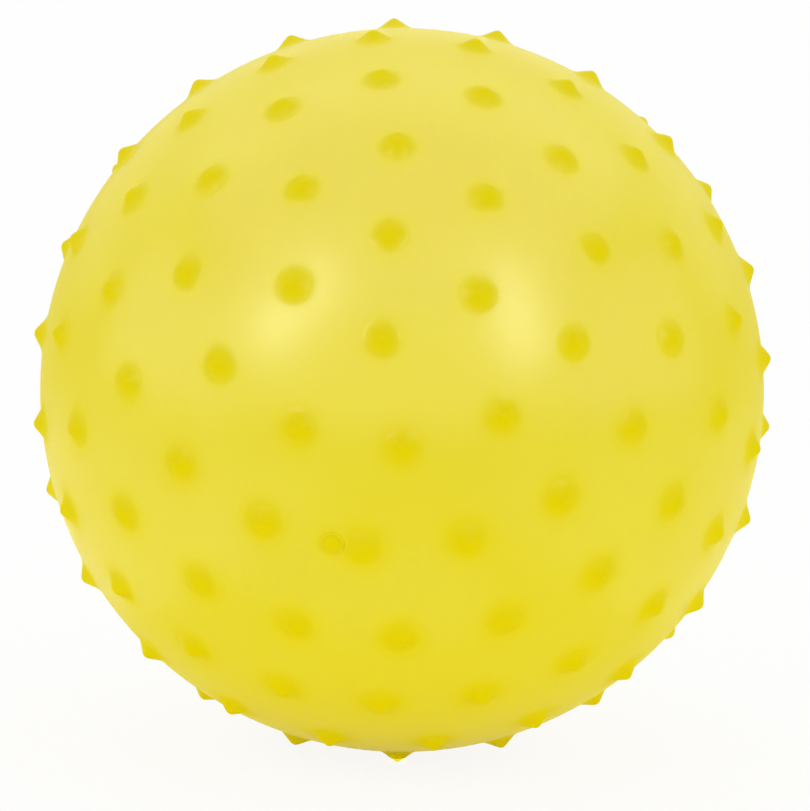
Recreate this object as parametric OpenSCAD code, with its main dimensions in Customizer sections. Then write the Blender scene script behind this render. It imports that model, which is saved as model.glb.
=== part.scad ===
// Knobby sensory ball: a hollow soft skin covered with rows of solid nubs, an air valve and its stopper.
// Millimetres. The origin is the centre of the ball, Z is up, and the ball stands on three of its nubs.

/* [Ball] */
// Diameter over the skin between the nubs
ball_d = 180; // [130:1:240]
// Wall of the skin
skin_wall = 1.2; // [0.8:0.1:2.4]

/* [Nubs] */
// Rows from pole to pole, counting the single nub at each pole
nub_rows = 12; // [9:1:13]
// Nubs that a row along the middle of the ball would hold
nubs_round = 22; // [14:1:24]
// Row that holds one nub more than its length asks for, counted from the front pole
fuller_row = 5; // [2:1:7]
// Height of a nub above the skin
nub_h = 2.5; // [1.8:0.1:4]
// Radius of the domed tip
nub_tip_r = 1.8; // [0.8:0.1:2.4]
// Slope of the straight flank below the tip
nub_slope = 35; // [24:1:45]
// Radius of the hollow where the flank runs out into the skin
nub_toe_r = 4; // [2:0.5:5]
// Depth that the hollow dips under the skin
nub_bite = 0.15; // [0.1:0.05:0.4]
// Angle of the soft edge between the flank and the hollow
nub_edge = 5; // [3:1:10]
// Turn of the rows about the pole axis, before each row's own turn
row_start = 60.45; // [0:0.05:90]
// Turn that each row adds to the row before
row_step = -36; // [-90:0.5:90]
// Turn that grows with the square of the row's number
row_growth = 4.3; // [-10:0.1:10]

/* [Seam] */
// Lean of the skin's seam line away from the pole axis, so that it runs between the nubs
seam_lean = 74; // [0:1:90]
// Turn of that lean about the pole axis
seam_turn = 154; // [0:1:359]
// Turn of the seam line about its own axis
seam_spin = 188; // [0:1:359]

/* [Attitude] */
// Lift of the front pole above the level
pole_lift = 34.82; // [0:0.01:90]
// Turn of the front pole about the upright axis
pole_turn = -2.9; // [-30:0.1:30]

/* [Valve] */
// Row of the nub that the valve sits beside
valve_row = 3; // [2:1:6]
// Number of that nub in its row
valve_nub = 13; // [0:1:16]
// Distance from the nub's axis to the valve's axis, along the row
valve_gap = 7.4; // [6.5:0.1:10]
// Bore of the valve insert
bore_d = 3; // [2.4:0.1:4]
// Wall of the insert beside the bore
bore_wall = 1.6; // [1.2:0.1:2.4]
// Length of the insert inside the skin, below its flange
insert_len = 9; // [6:0.5:16]
// Width of the flange around the insert
flange_rim = 4; // [2:0.5:6]
// Thickness of the flange
flange_t = 1.5; // [1:0.1:2.5]
// Rim of the pad beyond the flange, on the inside of the skin
pad_rim = 1; // [0.5:0.1:2]
// Thickness that the pad adds inside the skin
pad_t = 0.8; // [0.5:0.1:2]
// Clearance between the insert's neck and the hole in the skin
neck_clearance = 0.05; // [0.02:0.01:0.1]

/* [Stopper] */
// Clearance between the shank and the bore, at its widest
shank_clearance = 0.04; // [0.02:0.01:0.1]
// Length of the shank below the head
shank_len = 11; // [6:0.5:16]
// Narrowing of the shank's diameter from head to nose
shank_taper = 0.4; // [0.1:0.1:0.8]
// Bevel at the nose of the shank
nose_bevel = 0.6; // [0.3:0.1:0.9]
// Overhang of the head beyond the bore
head_rim = 0.6; // [0.4:0.1:0.9]
// Thickness of the head's straight edge
head_t = 0.7; // [0.5:0.1:1.2]
// Rise of the head's dome
head_rise = 0.5; // [0.3:0.1:0.8]
// Gap around the head in its seat
head_gap = 0.1; // [0.05:0.05:0.5]
// Wall of the insert around that seat
seat_wall = 0.7; // [0.5:0.1:1.2]

/* [Hidden] */
$fn = 48;

skin_color = [0.91, 0.84, 0.24];
valve_color = [0.90, 0.82, 0.12];

ball_r = ball_d / 2;
hollow_r = ball_r - skin_wall;
row_pitch = 180 / (nub_rows - 1);

// From its axis outwards, a nub is a dome, a straight flank and a hollow toe, and each runs into the next.
tip_z = nub_h - nub_tip_r;
flank_top = [nub_tip_r * sin(nub_slope), tip_z + nub_tip_r * cos(nub_slope)];
foot_r = flank_top[0] + flank_top[1] / tan(nub_slope) + nub_toe_r * tan(nub_slope / 2);
toe_dip = nub_bite + pow(foot_r, 2) / ball_d;
flank_len = (flank_top[1] + toe_dip - nub_toe_r * (1 - cos(nub_slope))) / sin(nub_slope);
flank_end = flank_top + flank_len * [cos(nub_slope), -sin(nub_slope)];
toe_at = flank_end + nub_toe_r * cos(nub_edge) * [sin(nub_slope), cos(nub_slope)];
nub_root = skin_wall / 2;

// Along the valve's axis, heights are measured from the top of the skin.
head_r = bore_d / 2 + head_rim;
seat_r = head_r + head_gap;
neck_r = max(bore_d / 2 + bore_wall, seat_r + seat_wall);
hole_r = neck_r + neck_clearance;
flange_r = neck_r + flange_rim;
pad_r = flange_r + pad_rim;
pad_sag = hollow_r - sqrt(pow(hollow_r, 2) - pow(pad_r, 2));
pad_z = -skin_wall - pad_sag - pad_t;
hole_sag = ball_r - sqrt(pow(ball_r, 2) - pow(hole_r, 2));
seat_z = -hole_sag - head_t;
insert_end = pad_z - flange_t - insert_len;
shank_r = bore_d / 2 - shank_clearance;
nose_r = shank_r - shank_taper / 2;
dome_r = (pow(head_r, 2) + pow(head_rise, 2)) / (2 * head_rise);
valve_colat = valve_row * row_pitch;
valve_turn = nub_turn(valve_row, valve_nub) - valve_gap / (ball_r * sin(valve_colat)) * 180 / PI;
over = 1;

function nubs_in_row(row) =
    max(1, round(nubs_round * sin(row * row_pitch))) + (row == fuller_row ? 1 : 0);

function nub_turn(row, number) =
    row_start + row_step * row + row_growth * row * row + 360 / nubs_in_row(row) * number;

// Leans the ball from its pole axis into the attitude in which it rests.
module at_rest() {
    rotate([90 - pole_lift, 0, pole_turn])
        children();
}

// Stands its children on the skin, at an angle from the front pole and a turn about the pole axis.
module on_skin(colat, turn) {
    at_rest()
        rotate([0, colat, turn])
            translate([0, 0, ball_r])
                children();
}

module smooth_ball() {
    at_rest()
        rotate([0, seam_lean, seam_turn])
            rotate([0, 0, seam_spin])
                sphere(r = ball_r);
}

module nub_profile() {
    difference() {
        polygon([
            [0, -toe_dip - nub_root],
            [toe_at[0], -toe_dip - nub_root],
            [toe_at[0], flank_end[1]],
            flank_end,
            flank_top,
            [0, flank_top[1]]
        ]);
        translate(toe_at)
            circle(r = nub_toe_r);
    }
    intersection() {
        translate([0, tip_z])
            circle(r = nub_tip_r);
        translate([0, flank_top[1]])
            square([nub_tip_r, nub_h]);
    }
}

module nub() {
    rotate_extrude()
        nub_profile();
}

module nubs() {
    for (row = [0 : nub_rows - 1]) {
        for (number = [0 : nubs_in_row(row) - 1]) {
            on_skin(row * row_pitch, nub_turn(row, number))
                nub();
        }
    }
}

module hollow() {
    difference() {
        sphere(r = hollow_r);
        on_skin(valve_colat, valve_turn)
            translate([0, 0, pad_z])
                cylinder(r = pad_r, h = -pad_z);
    }
}

module ball_skin() {
    color(skin_color)
        difference() {
            union() {
                smooth_ball();
                nubs();
            }
            hollow();
            on_skin(valve_colat, valve_turn)
                translate([0, 0, pad_z - over])
                    cylinder(r = hole_r, h = nub_h - pad_z + 2 * over);
        }
}

// Bored plug of soft plastic, bonded to the pad by its flange.
module valve_insert() {
    color(valve_color)
        on_skin(valve_colat, valve_turn)
            difference() {
                union() {
                    translate([0, 0, insert_end])
                        cylinder(r = neck_r, h = -hole_sag - insert_end);
                    translate([0, 0, pad_z - flange_t])
                        cylinder(r = flange_r, h = flange_t);
                }
                translate([0, 0, insert_end - over])
                    cylinder(r = bore_d / 2, h = over - insert_end);
                translate([0, 0, seat_z])
                    cylinder(r = seat_r, h = -seat_z);
            }
}

// Tapered stopper, pushed home until its head is level with the skin.
module valve_stopper() {
    color(valve_color)
        on_skin(valve_colat, valve_turn)
            translate([0, 0, seat_z]) {
                translate([0, 0, -shank_len])
                    cylinder(r1 = nose_r, r2 = shank_r, h = shank_len);
                translate([0, 0, -shank_len - nose_bevel])
                    cylinder(r1 = nose_r - nose_bevel, r2 = nose_r, h = nose_bevel);
                cylinder(r = head_r, h = head_t);
                translate([0, 0, head_t + head_rise - dome_r])
                    intersection() {
                        sphere(r = dome_r);
                        translate([0, 0, dome_r - head_rise])
                            cylinder(r = head_r, h = head_rise + over);
                    }
            }
}

ball_skin();
valve_insert();
valve_stopper();
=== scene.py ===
# %% [markdown]
# # A knobby sensory ball
#
# A soft vinyl ball for small hands: one hollow skin, covered with rows of blunt nubs, and a small
# air valve beside one of them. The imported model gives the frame, in metres, with Z up and the origin
# at the centre of the ball. Every piece made here sits in that frame and rides on one of its bodies.

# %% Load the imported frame
import bpy
import bmesh
import math
import numpy as np
from mathutils import Euler, Matrix, Vector


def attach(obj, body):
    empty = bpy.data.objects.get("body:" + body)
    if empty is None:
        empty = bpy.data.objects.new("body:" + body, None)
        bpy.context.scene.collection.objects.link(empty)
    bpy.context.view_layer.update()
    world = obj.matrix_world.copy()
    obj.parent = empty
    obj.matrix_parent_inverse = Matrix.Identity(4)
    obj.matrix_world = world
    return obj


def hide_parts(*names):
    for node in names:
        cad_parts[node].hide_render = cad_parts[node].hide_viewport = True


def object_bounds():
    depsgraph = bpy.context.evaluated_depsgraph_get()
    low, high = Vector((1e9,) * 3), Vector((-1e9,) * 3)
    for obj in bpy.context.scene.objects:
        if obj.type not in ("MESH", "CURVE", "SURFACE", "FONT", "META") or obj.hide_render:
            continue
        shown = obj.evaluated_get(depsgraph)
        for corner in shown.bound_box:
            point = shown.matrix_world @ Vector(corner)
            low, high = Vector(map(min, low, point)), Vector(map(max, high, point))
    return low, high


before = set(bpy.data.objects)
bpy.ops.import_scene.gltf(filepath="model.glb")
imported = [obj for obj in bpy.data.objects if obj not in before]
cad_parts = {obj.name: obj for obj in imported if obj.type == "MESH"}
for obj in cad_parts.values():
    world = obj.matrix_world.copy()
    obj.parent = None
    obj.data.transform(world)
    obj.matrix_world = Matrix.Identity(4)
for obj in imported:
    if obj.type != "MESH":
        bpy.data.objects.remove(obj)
cad_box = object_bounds()

# %% [markdown]
# ## Where the nubs stand
#
# On the real ball the nubs stand in rows about a pole axis. Each one could be placed by hand, but one
# rule gives them all, and it is the rule of the solid: as many nubs in a row as its length has room for,
# and a turn that grows from row to row. The pole leans, because the ball rests on three nubs and not on
# its pole. A learner who changes the rule here and in the solid gets another ball of the same kind.

# %% Rows of nubs
MM = 0.001
BALL_R = 90 * MM
NUB_ROWS = 12
NUBS_ROUND = 22
FULLER_ROW = 5
ROW_START, ROW_STEP, ROW_GROWTH = 60.45, -36.0, 4.3
POLE_LIFT, POLE_TURN = 34.82, -2.9
ROW_PITCH = math.pi / (NUB_ROWS - 1)
AT_REST = np.array(Euler((math.radians(90 - POLE_LIFT), 0, math.radians(POLE_TURN))).to_matrix())


def nubs_in_row(row):
    return max(1, round(NUBS_ROUND * math.sin(row * ROW_PITCH))) + (row == FULLER_ROW)


def nub_turn(row, number):
    start = ROW_START + ROW_STEP * row + ROW_GROWTH * row * row
    return math.radians(start) + 2 * math.pi * number / nubs_in_row(row)


def on_ball(colat, turn):
    """Unit direction at an angle from the front pole and a turn about the pole axis, at rest."""
    local = (math.sin(colat) * math.cos(turn), math.sin(colat) * math.sin(turn), math.cos(colat))
    return AT_REST @ np.array(local)


nub_axes = np.array([on_ball(row * ROW_PITCH, nub_turn(row, number))
                     for row in range(NUB_ROWS) for number in range(nubs_in_row(row))])
print(len(nub_axes), "nubs in rows of", [nubs_in_row(row) for row in range(NUB_ROWS)])

# %% [markdown]
# The valve sits in a row too, close beside one nub, so its axis comes from that nub and a gap.

# %% Axis of the valve
VALVE_ROW, VALVE_NUB, VALVE_GAP = 3, 13, 7.4 * MM
valve_colat = VALVE_ROW * ROW_PITCH
valve_step = VALVE_GAP / (BALL_R * math.sin(valve_colat))
valve_axis = on_ball(valve_colat, nub_turn(VALVE_ROW, VALVE_NUB) - valve_step)
print("the valve points along", valve_axis.round(3))

# %% [markdown]
# ## The camera comes first
#
# The photograph was taken with a long lens from a little above the ball. The ball's centre and radius
# in the picture give the lens and the shift, so that the render can be laid over the photograph.

# %% Camera
PHOTO_W, PHOTO_H = 810, 811
PHOTO_CENTRE = (402.0, 390.0)
PHOTO_BALL_R = 361.5
CAMERA_DISTANCE = 20 * BALL_R
CAMERA_LIFT = math.radians(10.7)
CAMERA_ROLL = math.radians(1.2)
SENSOR_WIDTH = 36.0
VIEW_END = 50


def add_object(name, data):
    thing = bpy.data.objects.new(name, data)
    bpy.context.scene.collection.objects.link(thing)
    return thing


camera_data = bpy.data.cameras.new("photo_camera")
camera = add_object("photo_camera", camera_data)
bpy.context.scene.camera = camera
camera.location = Vector((0, -math.cos(CAMERA_LIFT), math.sin(CAMERA_LIFT))) * CAMERA_DISTANCE
camera.rotation_euler = (Euler((math.pi / 2 - CAMERA_LIFT, 0, 0)).to_matrix()
                         @ Matrix.Rotation(CAMERA_ROLL, 3, "Z")).to_euler()
half_width = math.tan(math.asin(BALL_R / CAMERA_DISTANCE)) * (PHOTO_W / 2) / PHOTO_BALL_R
camera_data.sensor_width = SENSOR_WIDTH
camera_data.lens = SENSOR_WIDTH / 2 / half_width
camera_data.shift_x = (PHOTO_W / 2 - PHOTO_CENTRE[0]) / PHOTO_W
camera_data.shift_y = (PHOTO_CENTRE[1] - PHOTO_H / 2) / PHOTO_W
camera_data.clip_end = VIEW_END
print("lens %.0f mm, shift %.4f, %.4f" % (camera_data.lens, camera_data.shift_x, camera_data.shift_y))

# %% [markdown]
# ## The shape of one nub
#
# A nub is a blunt cone: a small dome, a straight flank and a hollow toe that runs out into the skin. Each
# part meets the next without a corner, because the toe's circle touches both the flank and the ball
# from outside. The profile is kept as a distance from the centre of the ball for each angle from the
# nub's axis, so the height of any point of the skin can be looked up.

# %% Nub profile
NUB_HEIGHT = 2.5 * MM
NUB_TIP_R = 1.8 * MM
NUB_SLOPE = math.radians(35)
NUB_TOE_R = 4.0 * MM
DOME_POINTS, FLANK_POINTS, TOE_POINTS = 5, 4, 5

downhill = np.array((math.cos(NUB_SLOPE), -math.sin(NUB_SLOPE)))
outward = np.array((math.sin(NUB_SLOPE), math.cos(NUB_SLOPE)))
tip_centre = np.array((0, BALL_R + NUB_HEIGHT - NUB_TIP_R))
flank_top = tip_centre + NUB_TIP_R * outward
toe_start = flank_top + NUB_TOE_R * outward
run = toe_start @ downhill
flank_len = -run - math.sqrt(run ** 2 - toe_start @ toe_start + (BALL_R + NUB_TOE_R) ** 2)
toe_centre = toe_start + flank_len * downhill
toe_angle = math.atan2(*toe_centre)


def arc(centre, radius, start, end, points):
    lean = np.linspace(start, end, points)[:, None]
    return centre + radius * np.hstack([np.sin(lean), np.cos(lean)])


dome = arc(tip_centre, NUB_TIP_R, 0, NUB_SLOPE, DOME_POINTS)
flank = flank_top + np.linspace(0, flank_len, FLANK_POINTS)[1:, None] * downhill
toe = arc(toe_centre, -NUB_TOE_R, NUB_SLOPE, toe_angle, TOE_POINTS)[1:]
profile = np.vstack([dome, flank, toe])
profile_angle = np.arctan2(profile[:, 0], profile[:, 1])
profile_radius = np.hypot(profile[:, 0], profile[:, 1])
print("a nub's foot is %.1f mm across" % (2 * BALL_R * math.sin(toe_angle) / MM))

# %% [markdown]
# Two numbers can now be looked up for any direction from the centre: how high the skin stands there, and
# how thick the vinyl looks. The second one is for the finish. A nub is solid, and so is the valve, and the
# vinyl thins out round about each. The thick spot is made wider on the lower nubs, as the photograph shows
# them;
# that extra width is painted shade, where the lower nubs sit in shade and their hollows mirror it.
# The heights between which it widens are shares of the ball's radius.

# %% Height and thickness of the skin, with painted shade on the lower nubs
# The lower halo is the wider one only as painted shade: it darkens and dulls a wider disc round the nubs on
# the lower half.
LOW_HALO_WITH_SHADE, HIGH_HALO = 9.8 * MM, 7.6 * MM
HALO_FROM, HALO_TO = -0.2, 0.3
VALVE_HALO = 5.5 * MM


def angle_to_nub(directions):
    return np.arccos(np.clip((directions @ nub_axes.T).max(axis=1), -1, 1))


def nub_rise(directions):
    """Height of the nubs above the skin along each unit direction."""
    return np.interp(angle_to_nub(directions), profile_angle, profile_radius - BALL_R, right=0)


def thickness_and_shade(directions):
    """1 on the axis of a nub or the valve, falling to 0 where the skin between them is thin; the disc is
    wider round the lower nubs, and that extra width is painted shade.
    """
    halo_with_shade = np.interp(directions[:, 2], (HALO_FROM, HALO_TO), (LOW_HALO_WITH_SHADE, HIGH_HALO))
    valve_angle = np.arccos(np.clip(directions @ valve_axis, -1, 1))
    return np.clip(1 - BALL_R * np.minimum(angle_to_nub(directions) / halo_with_shade, valve_angle / VALVE_HALO), 0, 1)


print("a nub rises %.2f mm on its axis" % (nub_rise(nub_axes[:1])[0] / MM))

# %% [markdown]
# ## The skin: one cell for each nub
#
# A ball of plain rings would cut across the nubs at every angle, and a voxel mesh would blur them. Here
# each nub owns the part of the ball that is nearer to it than to any other nub. The convex hull of the
# nub tips gives the neighbours, and the centre of each hull triangle is a corner where three cells meet.
# Where four nubs lie almost on one circle, two corners nearly fall together, and they are made one. The
# valve owns a cell too.

# %% Cells
SAME_CORNER = 0.5 * MM
sites = np.vstack([nub_axes, valve_axis])
valve_site = len(nub_axes)
hull = bmesh.new()
for site in sites:
    hull.verts.new(site)
hull.verts.index_update()
bmesh.ops.convex_hull(hull, input=hull.verts)
triangles = [[v.index for v in face.verts] for face in hull.faces]
hull.free()


def unit(v):
    return v / np.linalg.norm(v, axis=-1, keepdims=True)


def corner_of(triangle):
    a, b, c = sites[triangle]
    corner = unit(np.cross(b - a, c - a))
    return corner if corner @ a > 0 else -corner


corners = []
touching = {}
for triangle in triangles:
    corner = corner_of(triangle)
    near = [n for n, other in enumerate(corners)
            if np.linalg.norm(other - corner) * BALL_R < SAME_CORNER]
    number = near[0] if near else len(corners)
    if not near:
        corners.append(corner)
    for site in triangle:
        touching.setdefault(site, set()).add(number)
corners = np.array(corners)
print(len(corners), "corners; cells have", sorted({len(t) for t in touching.values()}), "sides")

# %% [markdown]
# Inside a cell it is easiest to count from the cell's own axis: an angle away from it and a turn about it.

# %% Turns about an axis
UPRIGHT, SIDEWAYS = (0.0, 0.0, 1.0), (1.0, 0.0, 0.0)
NEARLY_UPRIGHT = 0.9


def tangent_frame(axis):
    side = unit(np.cross(axis, UPRIGHT if abs(axis[2]) < NEARLY_UPRIGHT else SIDEWAYS))
    return side, np.cross(axis, side)


def around(axis, directions):
    """Angle from an axis and turn about it, for each direction."""
    side, up = tangent_frame(axis)
    angle = np.arccos(np.clip(directions @ axis, -1, 1))
    return angle, np.arctan2(directions @ up, directions @ side)


def ring_about(axis, turn):
    """Unit directions square to an axis, one for each turn."""
    side, up = tangent_frame(axis)
    return np.cos(turn)[..., None] * side + np.sin(turn)[..., None] * up


def from_axis(axis, angle, turn):
    return np.cos(angle)[..., None] * axis + np.sin(angle)[..., None] * ring_about(axis, turn)


print("the first nub is %.0f degrees from the valve"
      % math.degrees(around(valve_axis, nub_axes[:1])[0][0]))

# %% [markdown]
# ## Rings of quads in every cell
#
# Each cell is filled with rings of quads that start at its border and close in on the nub, so edge loops
# run round every nub, where the shape changes most. Two cells share the points of the border between them,
# which leaves no seam. The border round the valve is cut finer, because its hole is small.

# %% Borders between cells
SEGMENT = 2.5 * MM
FINE_SEGMENT = 0.9 * MM
valve_corners = touching[valve_site]
directions = list(corners)
drops = [0.0] * len(corners)
border_points = {}
faces = []


def add_points(points, drop=0.0):
    """Adds points by their directions, each a given depth under the skin, and returns their numbers."""
    first = len(directions)
    directions.extend(points)
    drops.extend([drop] * len(points))
    return list(range(first, first + len(points)))


def border_between(a, b):
    """Points from corner a to corner b, a left out, shared by the two cells on either side."""
    key = (min(a, b), max(a, b))
    if key not in border_points:
        start, end = corners[key[0]], corners[key[1]]
        length = math.acos(min(1.0, start @ end)) * BALL_R
        segment = FINE_SEGMENT if a in valve_corners and b in valve_corners else SEGMENT
        steps = max(1, round(length / segment))
        share = np.linspace(0, 1, steps + 1)[1:-1, None]
        border_points[key] = add_points(unit(start * (1 - share) + end * share))
    inner = border_points[key]
    return (inner if a < b else inner[::-1]) + [b]


def cell_border(site):
    """Points all along the border of a cell, in order of their turn about its axis."""
    own = np.array(sorted(touching[site]))
    own = own[np.argsort(around(sites[site], corners[own])[1])].tolist()
    return [point for a, b in zip(own, own[1:] + own[:1]) for point in border_between(a, b)]


def join_rings(outer, inner):
    ends = [(k, (k + 1) % len(outer)) for k in range(len(outer))]
    faces.extend((outer[k], outer[n], inner[n], inner[k]) for k, n in ends)


def close_ring(ring, tip):
    faces.extend((ring[k], ring[(k + 1) % len(ring)], tip) for k in range(len(ring)))


print("the valve's cell has", len(valve_corners), "corners")

# %% [markdown]
# The valve's cell has a hole for the neck of the valve insert, so the sizes of the insert come now. They
# start at the bore and go outwards, as a maker would draw them: the wall, the seat for the stopper's head,
# the flange, and the flat pad inside the skin that carries the flange. Heights are counted from the top of
# the skin. The solids keep a clearance at each joint; soft vinyl fills it, so only a hair is left here.

# %% Sizes of the valve
BORE_R, BORE_WALL = 1.5 * MM, 1.6 * MM
SEAT_RIM, SEAT_DEPTH = 0.7 * MM, 0.7 * MM
FLANGE_RIM, FLANGE_THICK, PAD_RIM = 4.0 * MM, 1.5 * MM, 1.0 * MM
INSERT_LEN = 9.0 * MM
INSERT_TOP, FLANGE_TOP = -0.055 * MM, -2.37 * MM
NECK_GAP, FLANGE_GAP = 0.005 * MM, 0.01 * MM

neck_r = BORE_R + BORE_WALL
seat_r = BORE_R + SEAT_RIM
flange_r = neck_r + FLANGE_RIM
seat_z = INSERT_TOP - SEAT_DEPTH
flange_end = FLANGE_TOP - FLANGE_THICK
insert_end = flange_end - INSERT_LEN
hole_r = neck_r + NECK_GAP
pad_r = flange_r + PAD_RIM
pad_z = FLANGE_TOP + FLANGE_GAP
print("the hole for the valve is %.2f mm across" % (2 * hole_r / MM))

# %% [markdown]
# Between the border and the foot of a nub the rings change from the cell's shape to a circle with even
# steps. A foot may fill four fifths of the way to the border. Where the border is closer than that, the
# rings are squeezed a little, and the height is looked up afterwards, so the nub keeps its shape. The
# valve's rings stop at its hole, turn over a small rounded lip and go down the wall of the hole.

# %% Filled cells
HOLE_LIP = 0.05 * MM
LIP_STEPS = 3
SKIN_RINGS = 4
FOOT_SHARE = 0.8
NUB_RINGS = profile_angle[1:]
HOLE_RINGS = np.array([(hole_r + HOLE_LIP) / BALL_R])


def hole_rings(axis, turn):
    """Rings over the lip of the valve's hole and down its wall."""
    rings = []
    for lean in np.linspace(0, math.pi / 2, LIP_STEPS + 1)[1:]:
        lip = np.full(len(turn), (hole_r + HOLE_LIP * (1 - math.sin(lean))) / BALL_R)
        rings.append(add_points(from_axis(axis, lip, turn), HOLE_LIP * (1 - math.cos(lean))))
    rings.append(add_points(from_axis(axis, lip, turn), -pad_z))
    return rings


def fill_cell(site):
    """Fills a cell with faces and returns its last ring with the turns of that ring's points."""
    axis = sites[site]
    stations = HOLE_RINGS if site == valve_site else NUB_RINGS
    rings = [cell_border(site)]
    border_angle, border_turn = around(axis, np.array([directions[point] for point in rings[0]]))
    border_turn = np.unwrap(border_turn)
    count = len(border_turn)
    even_turn = border_turn.mean() + 2 * math.pi * (np.arange(count) - (count - 1) / 2) / count

    def border_at(turn):
        return np.interp(turn, border_turn, border_angle, period=2 * math.pi)

    def squeeze_at(turn):
        return np.minimum(1, FOOT_SHARE * border_at(turn) / stations[-1])

    for share in np.arange(1, SKIN_RINGS) / SKIN_RINGS:
        turn = border_turn * (1 - share) + even_turn * share
        angle = border_at(turn) * (1 - share) + stations[-1] * squeeze_at(turn) * share
        rings.append(add_points(from_axis(axis, angle, turn)))
    for station in stations[::-1]:
        rings.append(add_points(from_axis(axis, station * squeeze_at(even_turn), even_turn)))
    if site == valve_site:
        rings += hole_rings(axis, even_turn)
    for outer, inner in zip(rings, rings[1:]):
        join_rings(outer, inner)
    if site != valve_site:
        close_ring(rings[-1], add_points([axis])[0])
    return rings[-1], even_turn


for site in range(valve_site):
    fill_cell(site)
hole_end, hole_turn = fill_cell(valve_site)
directions = np.array(directions)
outside = directions * (BALL_R + nub_rise(directions) - np.array(drops))[:, None]
print("outside of the skin:", len(outside), "points")

# %% [markdown]
# ## The inside of the skin
#
# The skin is a real wall, not a sheet. A solidify modifier could thicken the outside, but the real inside
# has no dents under the nubs. From the end of the valve's hole, the inside runs out over the flat pad that
# carries the insert and then round the air space to the far side, in rings about the valve's axis.

# %% Inside of the skin
SKIN_WALL = 1.2 * MM
INNER_RINGS = 48
hollow_r = BALL_R - SKIN_WALL
hollow = arc(np.zeros(2), hollow_r, math.asin(pad_r / hollow_r), math.pi, INNER_RINGS)[:-1]
inner_outline = [(pad_r, BALL_R + pad_z), *hollow]
inner_ring = ring_about(valve_axis, hole_turn)
inside = np.vstack([valve_axis * height + inner_ring * r for r, height in inner_outline]
                   + [-hollow_r * valve_axis])
far_point = len(outside) + len(inside) - 1
outer = hole_end
for start in range(len(outside), far_point, len(hole_end)):
    inner = list(range(start, start + len(hole_end)))
    join_rings(outer, inner)
    outer = inner
close_ring(outer, far_point)
print("inside of the skin:", len(inside), "points")

# %% [markdown]
# The points and faces become one mesh. Its thickness, with the painted shade of the lower nubs in it, is
# stored on the points as an attribute, which a material can read, so the finish follows the shape without
# any picture being painted.

# %% Skin
def face_outwards(mesh):
    """Turns all faces outwards and counts the edges that don't join two faces."""
    shell = bmesh.new()
    shell.from_mesh(mesh)
    bmesh.ops.recalc_face_normals(shell, faces=shell.faces)
    open_edges = sum(not edge.is_manifold for edge in shell.edges)
    shell.to_mesh(mesh)
    shell.free()
    return open_edges


skin_mesh = bpy.data.meshes.new("soft_skin")
skin_mesh.from_pydata(np.vstack([outside, inside]).tolist(), [], faces)
open_edges = face_outwards(skin_mesh)
skin_mesh.shade_smooth()
# This attribute is thickness with painted shade in it: its discs are wider round the lower nubs.
thick_and_shade = skin_mesh.attributes.new("thick_and_shade", "FLOAT", "POINT")
thick_and_shade.data.foreach_set("value", np.concatenate([thickness_and_shade(directions), np.ones(len(inside))]))
skin = add_object("soft_skin", skin_mesh)
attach(skin, "ball")
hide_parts("ball_skin")
print("skin:", len(skin_mesh.polygons), "faces,", open_edges, "open edges")

# %% [markdown]
# ## The valve: two turned pieces
#
# The insert is a bored plug with a flange that is bonded inside the skin, and the stopper is a tapered pin
# with a low domed head. A screw modifier could turn them, but a few lines put them on the valve's axis at
# once. Each is drawn as half of its outline, as distances from the axis and heights from the top of the
# skin, and that outline is turned about the axis.

# %% Turned pieces
TURNS = 64
SHARP_EDGE = math.radians(40)


def turn_piece(name, outline, closed, body, node):
    """Turns an outline about the valve's axis: a closed one is a loop, an open one gets two caps."""
    ring = ring_about(valve_axis, np.arange(TURNS) * 2 * math.pi / TURNS)
    points = np.vstack([valve_axis * (BALL_R + z) + ring * r for r, z in outline])
    sides = list(zip(range(len(outline)), range(1, len(outline))))
    if closed:
        sides.append((len(outline) - 1, 0))
    turned = [(a * TURNS + k, b * TURNS + k, b * TURNS + (k + 1) % TURNS, a * TURNS + (k + 1) % TURNS)
              for a, b in sides for k in range(TURNS)]
    if not closed:
        turned += [tuple(range(TURNS)), tuple(range(len(points) - 1, len(points) - TURNS - 1, -1))]
    mesh = bpy.data.meshes.new(name)
    mesh.from_pydata(points.tolist(), [], turned)
    open_edges = face_outwards(mesh)
    mesh.shade_smooth()
    mesh.set_sharp_from_angle(angle=SHARP_EDGE)
    piece = add_object(name, mesh)
    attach(piece, body)
    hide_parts(node)
    print(name, "has", len(mesh.polygons), "faces,", open_edges, "open edges")
    return mesh


# %% [markdown]
# The insert stays in the ball. Its two edges that show are rounded, because soft plastic has no sharp ones.

# %% Valve insert
EDGE_R = 0.06 * MM
EDGE_POINTS = 5
edge_z = INSERT_TOP - EDGE_R
seat_edge = arc(np.array((seat_r + EDGE_R, edge_z)), EDGE_R, -math.pi / 2, 0, EDGE_POINTS)
neck_edge = arc(np.array((neck_r - EDGE_R, edge_z)), EDGE_R, 0, math.pi / 2, EDGE_POINTS)
insert_outline = [(BORE_R, insert_end), (BORE_R, seat_z), (seat_r, seat_z), *seat_edge, *neck_edge,
                  (neck_r, FLANGE_TOP), (flange_r, FLANGE_TOP), (flange_r, flange_end),
                  (neck_r, flange_end), (neck_r, insert_end)]
insert_mesh = turn_piece("turned_insert", insert_outline, True, "ball", "valve_insert")

# %% [markdown]
# The stopper slides out along the valve's axis, so it rides on a body of its own. It fits the bore and the
# seat with a little play, and its shank tapers so that a push makes it tight. The head is a low dome that
# ends in a small flat, a share of its radius, which the turned outline closes with a cap.

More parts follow.
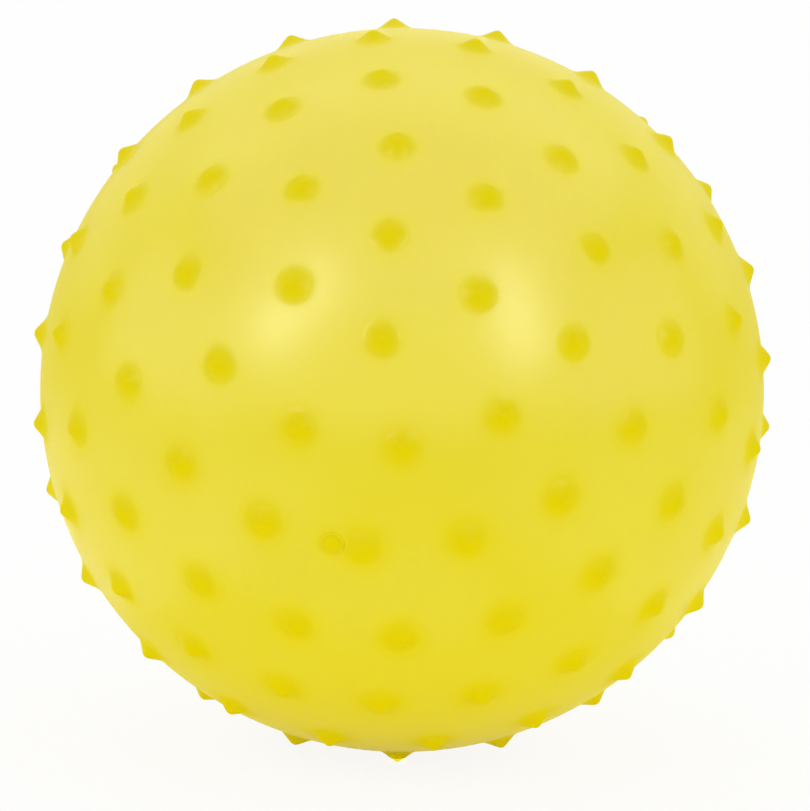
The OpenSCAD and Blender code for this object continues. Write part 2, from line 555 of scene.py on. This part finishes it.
# %% Valve stopper
HEAD_PLAY, HEAD_RISE = 0.01 * MM, 0.5 * MM
HEAD_FLAT, HEAD_POINTS = 0.05, 16
SHANK_PLAY, SHANK_TAPER, SHANK_LEN = 0.04 * MM, 0.4 * MM, 11 * MM
NOSE_BEVEL = 0.6 * MM
head_r = seat_r - HEAD_PLAY
head = [(head_r * share, INSERT_TOP + HEAD_RISE * (1 - share ** 2))
        for share in np.linspace(1, HEAD_FLAT, HEAD_POINTS)]
shank_r = BORE_R - SHANK_PLAY
nose_r = shank_r - SHANK_TAPER / 2
nose_z = seat_z - SHANK_LEN
stopper_outline = [(nose_r - NOSE_BEVEL, nose_z - NOSE_BEVEL), (nose_r, nose_z), (shank_r, seat_z),
                   (head_r, seat_z), *head]
stopper_mesh = turn_piece("turned_stopper", stopper_outline, False, "stopper", "valve_stopper")

# %% [markdown]
# ## Soft vinyl, in two shared effects
#
# The ball is cast in one colour, yet it doesn't look even. Where the skin is blown up it is thin, stretched
# and polished, and it mirrors a pale veil of the room; a nub stays thick and dull, so it shows the pure
# pigment. Two effects are shared by every vinyl piece and are built once as node groups: a slow cloud in
# the colour, and the fine grain that the mould leaves. First come the few helpers that both need.

# %% Node helpers
RANGE_INPUTS = ("From Min", "From Max", "To Min", "To Max")


def new_group(name, inputs, outputs):
    group = bpy.data.node_groups.new(name, "ShaderNodeTree")
    for label, kind, value in inputs:
        socket = group.interface.new_socket(label, in_out="INPUT", socket_type=kind)
        socket.default_value = value
    for label, kind in outputs:
        group.interface.new_socket(label, in_out="OUTPUT", socket_type=kind)
    entry = group.nodes.new("NodeGroupInput")
    leave = group.nodes.new("NodeGroupOutput")
    return group, entry.outputs, leave.inputs


def add_noise(tree, position, scale, detail=2.0):
    noise = tree.nodes.new("ShaderNodeTexNoise")
    noise.inputs["Detail"].default_value = detail
    tree.links.new(position, noise.inputs["Vector"])
    tree.links.new(scale, noise.inputs["Scale"])
    return noise.outputs["Fac"]


def add_range(tree, value, from_range, to_range, smooth=False):
    node = tree.nodes.new("ShaderNodeMapRange")
    node.interpolation_type = "SMOOTHSTEP" if smooth else "LINEAR"
    for name, number in zip(RANGE_INPUTS, (*from_range, *to_range)):
        node.inputs[name].default_value = number
    tree.links.new(value, node.inputs["Value"])
    return node.outputs["Result"]


def add_mix(tree, factor, a, b):
    node = tree.nodes.new("ShaderNodeMix")
    node.data_type = "RGBA"
    tree.links.new(factor, node.inputs["Factor"])
    for socket, source in ((node.inputs["A"], a), (node.inputs["B"], b)):
        if isinstance(source, tuple):
            socket.default_value = source
        else:
            tree.links.new(source, socket)
    return node.outputs["Result"]


print("node helpers:", [helper.__name__ for helper in (new_group, add_noise, add_range, add_mix)])

# %% [markdown]
# The cloud drifts between a pale and a deep tone of the pigment, in patches of a few centimetres. The grain
# gives a height for the bump and a roughness that goes with it, so that a hollow is duller than a crest.

# %% Shared effects
CLOUD_SCALE, GRAIN_SCALE = 25.0, 2500.0
CLOUD_RANGE = (0.3, 0.7)
GRAIN_DETAIL = 3.0
cloud, given, out = new_group(
    "vinyl_cloud",
    [("Pale", "NodeSocketColor", (0.8, 0.68, 0.0, 1)), ("Deep", "NodeSocketColor", (0.78, 0.65, 0.0, 1)),
     ("Position", "NodeSocketVector", (0, 0, 0)), ("Scale", "NodeSocketFloat", CLOUD_SCALE)],
    [("Color", "NodeSocketColor")])
drift = add_noise(cloud, given["Position"], given["Scale"])
spread = add_range(cloud, drift, CLOUD_RANGE, (0, 1), smooth=True)
cloud.links.new(add_mix(cloud, spread, given["Pale"], given["Deep"]), out["Color"])

grain, given, out = new_group(
    "mould_grain",
    [("Position", "NodeSocketVector", (0, 0, 0)), ("Scale", "NodeSocketFloat", GRAIN_SCALE),
     ("Dull", "NodeSocketFloat", 0.55), ("Bright", "NodeSocketFloat", 0.45)],
    [("Height", "NodeSocketFloat"), ("Roughness", "NodeSocketFloat")])
fine = add_noise(grain, given["Position"], given["Scale"], GRAIN_DETAIL)
grain.links.new(fine, out["Height"])
level = grain.nodes.new("ShaderNodeMix")
for source, socket in ((fine, "Factor"), (given["Dull"], "A"), (given["Bright"], "B")):
    grain.links.new(source, level.inputs[socket])
grain.links.new(level.outputs["Result"], out["Roughness"])
print("shared effects:", cloud.name, "and", grain.name)

# %% [markdown]
# ## Vinyl with a polish
#
# The pigment is matt, and the polish lies over it as the coat of the shader, so that its weight can change
# over the surface. A high index for the coat keeps the veil almost even from the middle of the ball to its
# rim; with a low one only the rim would shine.

# %% Vinyl
MATT_SPECULAR = 0.01
POLISH_ROUGHNESS = 0.3
POLISH_IOR = 2.2
GRAIN_STRENGTH = 0.5


def new_vinyl(name, pale, deep, grain_depth):
    material = bpy.data.materials.new(name)
    material.use_nodes = True
    tree = material.node_tree
    shader = tree.nodes["Principled BSDF"]
    shader.inputs["Specular IOR Level"].default_value = MATT_SPECULAR
    shader.inputs["Coat Roughness"].default_value = POLISH_ROUGHNESS
    shader.inputs["Coat IOR"].default_value = POLISH_IOR
    place = tree.nodes.new("ShaderNodeTexCoord").outputs["Object"]
    tone = tree.nodes.new("ShaderNodeGroup")
    tone.node_tree = cloud
    tone.inputs["Pale"].default_value = pale
    tone.inputs["Deep"].default_value = deep
    mould = tree.nodes.new("ShaderNodeGroup")
    mould.node_tree = grain
    for effect in (tone, mould):
        tree.links.new(place, effect.inputs["Position"])
    bump = tree.nodes.new("ShaderNodeBump")
    bump.inputs["Distance"].default_value = grain_depth
    bump.inputs["Strength"].default_value = GRAIN_STRENGTH
    tree.links.new(mould.outputs["Height"], bump.inputs["Height"])
    tree.links.new(bump.outputs["Normal"], shader.inputs["Normal"])
    tree.links.new(mould.outputs["Roughness"], shader.inputs["Roughness"])
    tree.links.new(tone.outputs["Color"], shader.inputs["Base Color"])
    print(name, "varies between", pale[:3], "and", deep[:3])
    return material, tree, shader, tone.outputs["Color"]


# %% [markdown]
# ## The skin's material
#
# The mesh carries one number: 1 on the axis of a nub and 0 on the skin between. It deepens the colour over
# a nub and takes the polish off its flanks, while the tip, which hands rub, keeps a little. Round the lower
# nubs the number spreads wider, so there the deeper, duller disc is painted shade.

# %% Skin material
SKIN_PALE, SKIN_DEEP = (0.80, 0.68, 0.004, 1), (0.795, 0.67, 0.001, 1)
NUB_COLOR = (0.782, 0.648, 0.0, 1)
NUB_FADE = (0.1, 0.8)
SKIN_GRAIN = 0.02 * MM
POLISH = ((0.0, 0.18), (0.2, 0.155), (0.35, 0.115), (0.5, 0.065),
          (0.65, 0.025), (0.8, 0.006), (0.97, 0.012))

skin_vinyl, tree, shader, tone = new_vinyl("satin_vinyl_skin", SKIN_PALE, SKIN_DEEP, SKIN_GRAIN)
thick_and_shade_here = tree.nodes.new("ShaderNodeAttribute")
thick_and_shade_here.attribute_name = thick_and_shade.name
# Deeper colour and less polish follow this number, so round the lower nubs they are painted shade as well
# as thick vinyl.
share = add_range(tree, thick_and_shade_here.outputs["Fac"], NUB_FADE, (0, 1), smooth=True)
tree.links.new(add_mix(tree, share, tone, NUB_COLOR), shader.inputs["Base Color"])
polish = tree.nodes.new("ShaderNodeValToRGB")
stops = polish.color_ramp.elements
for position, weight in POLISH:
    stop = stops[0] if position == 0 else stops.new(position)
    stop.color = (weight, weight, weight, 1)
stops.remove(stops[-1])
tree.links.new(thick_and_shade_here.outputs["Fac"], polish.inputs["Fac"])
tree.links.new(polish.outputs["Color"], shader.inputs["Coat Weight"])
skin_mesh.materials.append(skin_vinyl)
print("skin:", skin_vinyl.name, "with", len(stops), "steps of polish")

# %% [markdown]
# ## The valve's materials
#
# Insert and stopper are thick pieces of the same vinyl, so they show the deep tone of the nubs and hardly
# any polish. A sliver of difference between the two lets the eye find the stopper's head.

# %% Valve materials
INSERT_PALE, INSERT_DEEP = (0.782, 0.65, 0.001, 1), (0.775, 0.64, 0.0, 1)
STOPPER_PALE, STOPPER_DEEP = (0.775, 0.642, 0.0, 1), (0.765, 0.63, 0.0, 1)
INSERT_GRAIN, STOPPER_GRAIN = 0.02 * MM, 0.015 * MM
INSERT_POLISH, STOPPER_POLISH = 0.05, 0.01

valve_vinyl, _, shader, _ = new_vinyl("valve_vinyl", INSERT_PALE, INSERT_DEEP, INSERT_GRAIN)
shader.inputs["Coat Weight"].default_value = INSERT_POLISH
stopper_vinyl, _, shader, _ = new_vinyl("stopper_vinyl", STOPPER_PALE, STOPPER_DEEP, STOPPER_GRAIN)
shader.inputs["Coat Weight"].default_value = STOPPER_POLISH
for mesh, material in ((insert_mesh, valve_vinyl), (stopper_mesh, stopper_vinyl)):
    mesh.materials.append(material)
    print(mesh.name, "is finished in", material.name)

# %% [markdown]
# ## A white floor
#
# The photograph has a white ground. A floor that is only lit never gets quite white, and more lamps would
# bleach the ball, so most of the floor's white goes straight to the camera and to reflections, by the Light
# Path node. The rest is white paint, which keeps a faint shadow under the ball.

# %% Floor
FLOOR_Z = cad_box[0][2]
FLOOR_HALF = 6.0
FLOOR_CORNERS = ((-1, -1), (1, -1), (1, 1), (-1, 1))
FLOOR_PAINT = (0.95, 0.95, 0.95, 1)
FLOOR_SHINE = 0.88
floor_mesh = bpy.data.meshes.new("floor")
floor_mesh.from_pydata([(x * FLOOR_HALF, y * FLOOR_HALF, FLOOR_Z) for x, y in FLOOR_CORNERS],
                       [], [(0, 1, 2, 3)])
floor = add_object("floor", floor_mesh)
print("floor at %.2f mm" % (FLOOR_Z / MM))

# %% Floor material
floor_material = bpy.data.materials.new("white_floor")
floor_material.use_nodes = True
tree = floor_material.node_tree
paint = tree.nodes["Principled BSDF"]
paint.inputs["Base Color"].default_value = FLOOR_PAINT
paint.inputs["Roughness"].default_value = 1.0
paint.inputs["Specular IOR Level"].default_value = 0.0
glow = tree.nodes.new("ShaderNodeEmission")
rays = tree.nodes.new("ShaderNodeLightPath")
seen = rays.outputs["Is Camera Ray"]
for kind in ("Is Glossy Ray", "Is Transmission Ray"):
    either = tree.nodes.new("ShaderNodeMath")
    either.operation = "MAXIMUM"
    tree.links.new(seen, either.inputs[0])
    tree.links.new(rays.outputs[kind], either.inputs[1])
    seen = either.outputs[0]
both = tree.nodes.new("ShaderNodeMixShader")
tree.links.new(add_range(tree, seen, (0, 1), (0, FLOOR_SHINE)), both.inputs["Fac"])
tree.links.new(paint.outputs["BSDF"], both.inputs[1])
tree.links.new(glow.outputs["Emission"], both.inputs[2])
tree.links.new(both.outputs["Shader"], tree.nodes["Material Output"].inputs["Surface"])
floor_mesh.materials.append(floor_material)
print("floor:", floor_material.name)

# %% [markdown]
# ## Light from a white room
#
# The photograph is almost shadowless: a white room lights the ball evenly from all sides, and the world
# gives that even light. A photographer would then stand white cards round the ball and look at what the
# polish mirrors, and the lamps here do the same. Cards above, in front, behind and at the sides give the
# pale veil on the upper half. Boards on the floor give the veil on the lower half and leave a deeper band
# between them. Two softboxes beside the camera give the two bright streaks. All of these show in
# reflections only, so they don't change the colour of the pigment. The light table under the ball does the
# opposite: it lifts the colour of the lower half and shows in no reflection. The lamps are sampled only as
# lamps, because a matt ray that happens to hit a card would bring its light in after all.

# %% World
WORLD_STRENGTH = 0.98
world = bpy.data.worlds.new("studio")
bpy.context.scene.world = world
world.use_nodes = True
background = world.node_tree.nodes["Background"]
background.inputs["Color"].default_value = (1, 1, 1, 1)
background.inputs["Strength"].default_value = WORLD_STRENGTH
bpy.context.scene.view_settings.view_transform = "Standard"
print("world:", world.name, "at", WORLD_STRENGTH)

# %% Lamps
BOARD_Z, TABLE_Z = FLOOR_Z + 0.2 * MM, FLOOR_Z + 0.1 * MM
DEPTHWAYS, DOWN = (0, 1, 0), (0, 0, -1)


def add_panel(name, place, width, height, radiance, along=UPRIGHT, back=None, reflections=True):
    """A flat lamp that faces the ball, or has its back as given. Shows in reflections or in the colour."""
    lamp = bpy.data.lights.new(name, "AREA")
    lamp.shape = "RECTANGLE"
    lamp.size, lamp.size_y = width, height
    lamp.energy = radiance * math.pi * width * height
    lamp.cycles.use_multiple_importance_sampling = False
    panel = add_object(name, lamp)
    away = Vector(back or place).normalized()
    across = Vector(along).cross(away).normalized()
    panel.location = place
    panel.rotation_euler = Matrix((across, away.cross(across), away)).transposed().to_euler()
    panel.visible_camera = False
    panel.visible_diffuse = not reflections
    panel.visible_glossy = reflections
    print("%s: %.2f by %.2f m, face brightness %.2f" % (name, width, height, radiance))


add_panel("overhead_card", (0, -0.12, 1.2), 3.0, 2.6, 2.5)
add_panel("front_card", (0, -2.28, 0.75), 5.0, 1.7, 1.9)
add_panel("left_card", (-1.23, -0.25, 0.34), 1.4, 0.8, 2.7)
add_panel("right_card", (1.23, -0.25, 0.34), 1.4, 0.8, 2.1)
add_panel("back_card", (0, 1.6, 1.0), 5.6, 1.9, 1.2)
add_panel("left_board", (-0.36, 0.02, BOARD_Z), 0.52, 0.7, 1.0, along=DEPTHWAYS, back=DOWN)
add_panel("right_board", (0.36, 0.02, BOARD_Z), 0.52, 0.7, 0.7, along=DEPTHWAYS, back=DOWN)
add_panel("front_board", (-0.06, -0.13, BOARD_Z), 0.22, 0.09, 0.5, along=DEPTHWAYS, back=DOWN)
add_panel("left_softbox", (-0.703, -0.844, 0.693), 0.26, 0.65, 11.5, along=(0.372, 0.11, 0.463))
add_panel("right_softbox", (0.705, -0.858, 0.673), 0.26, 0.65, 10.5, along=(-0.215, 0.24, 0.477))
add_panel("light_table", (0, 0, TABLE_Z), 0.6, 0.6, 0.17, along=DEPTHWAYS, reflections=False)
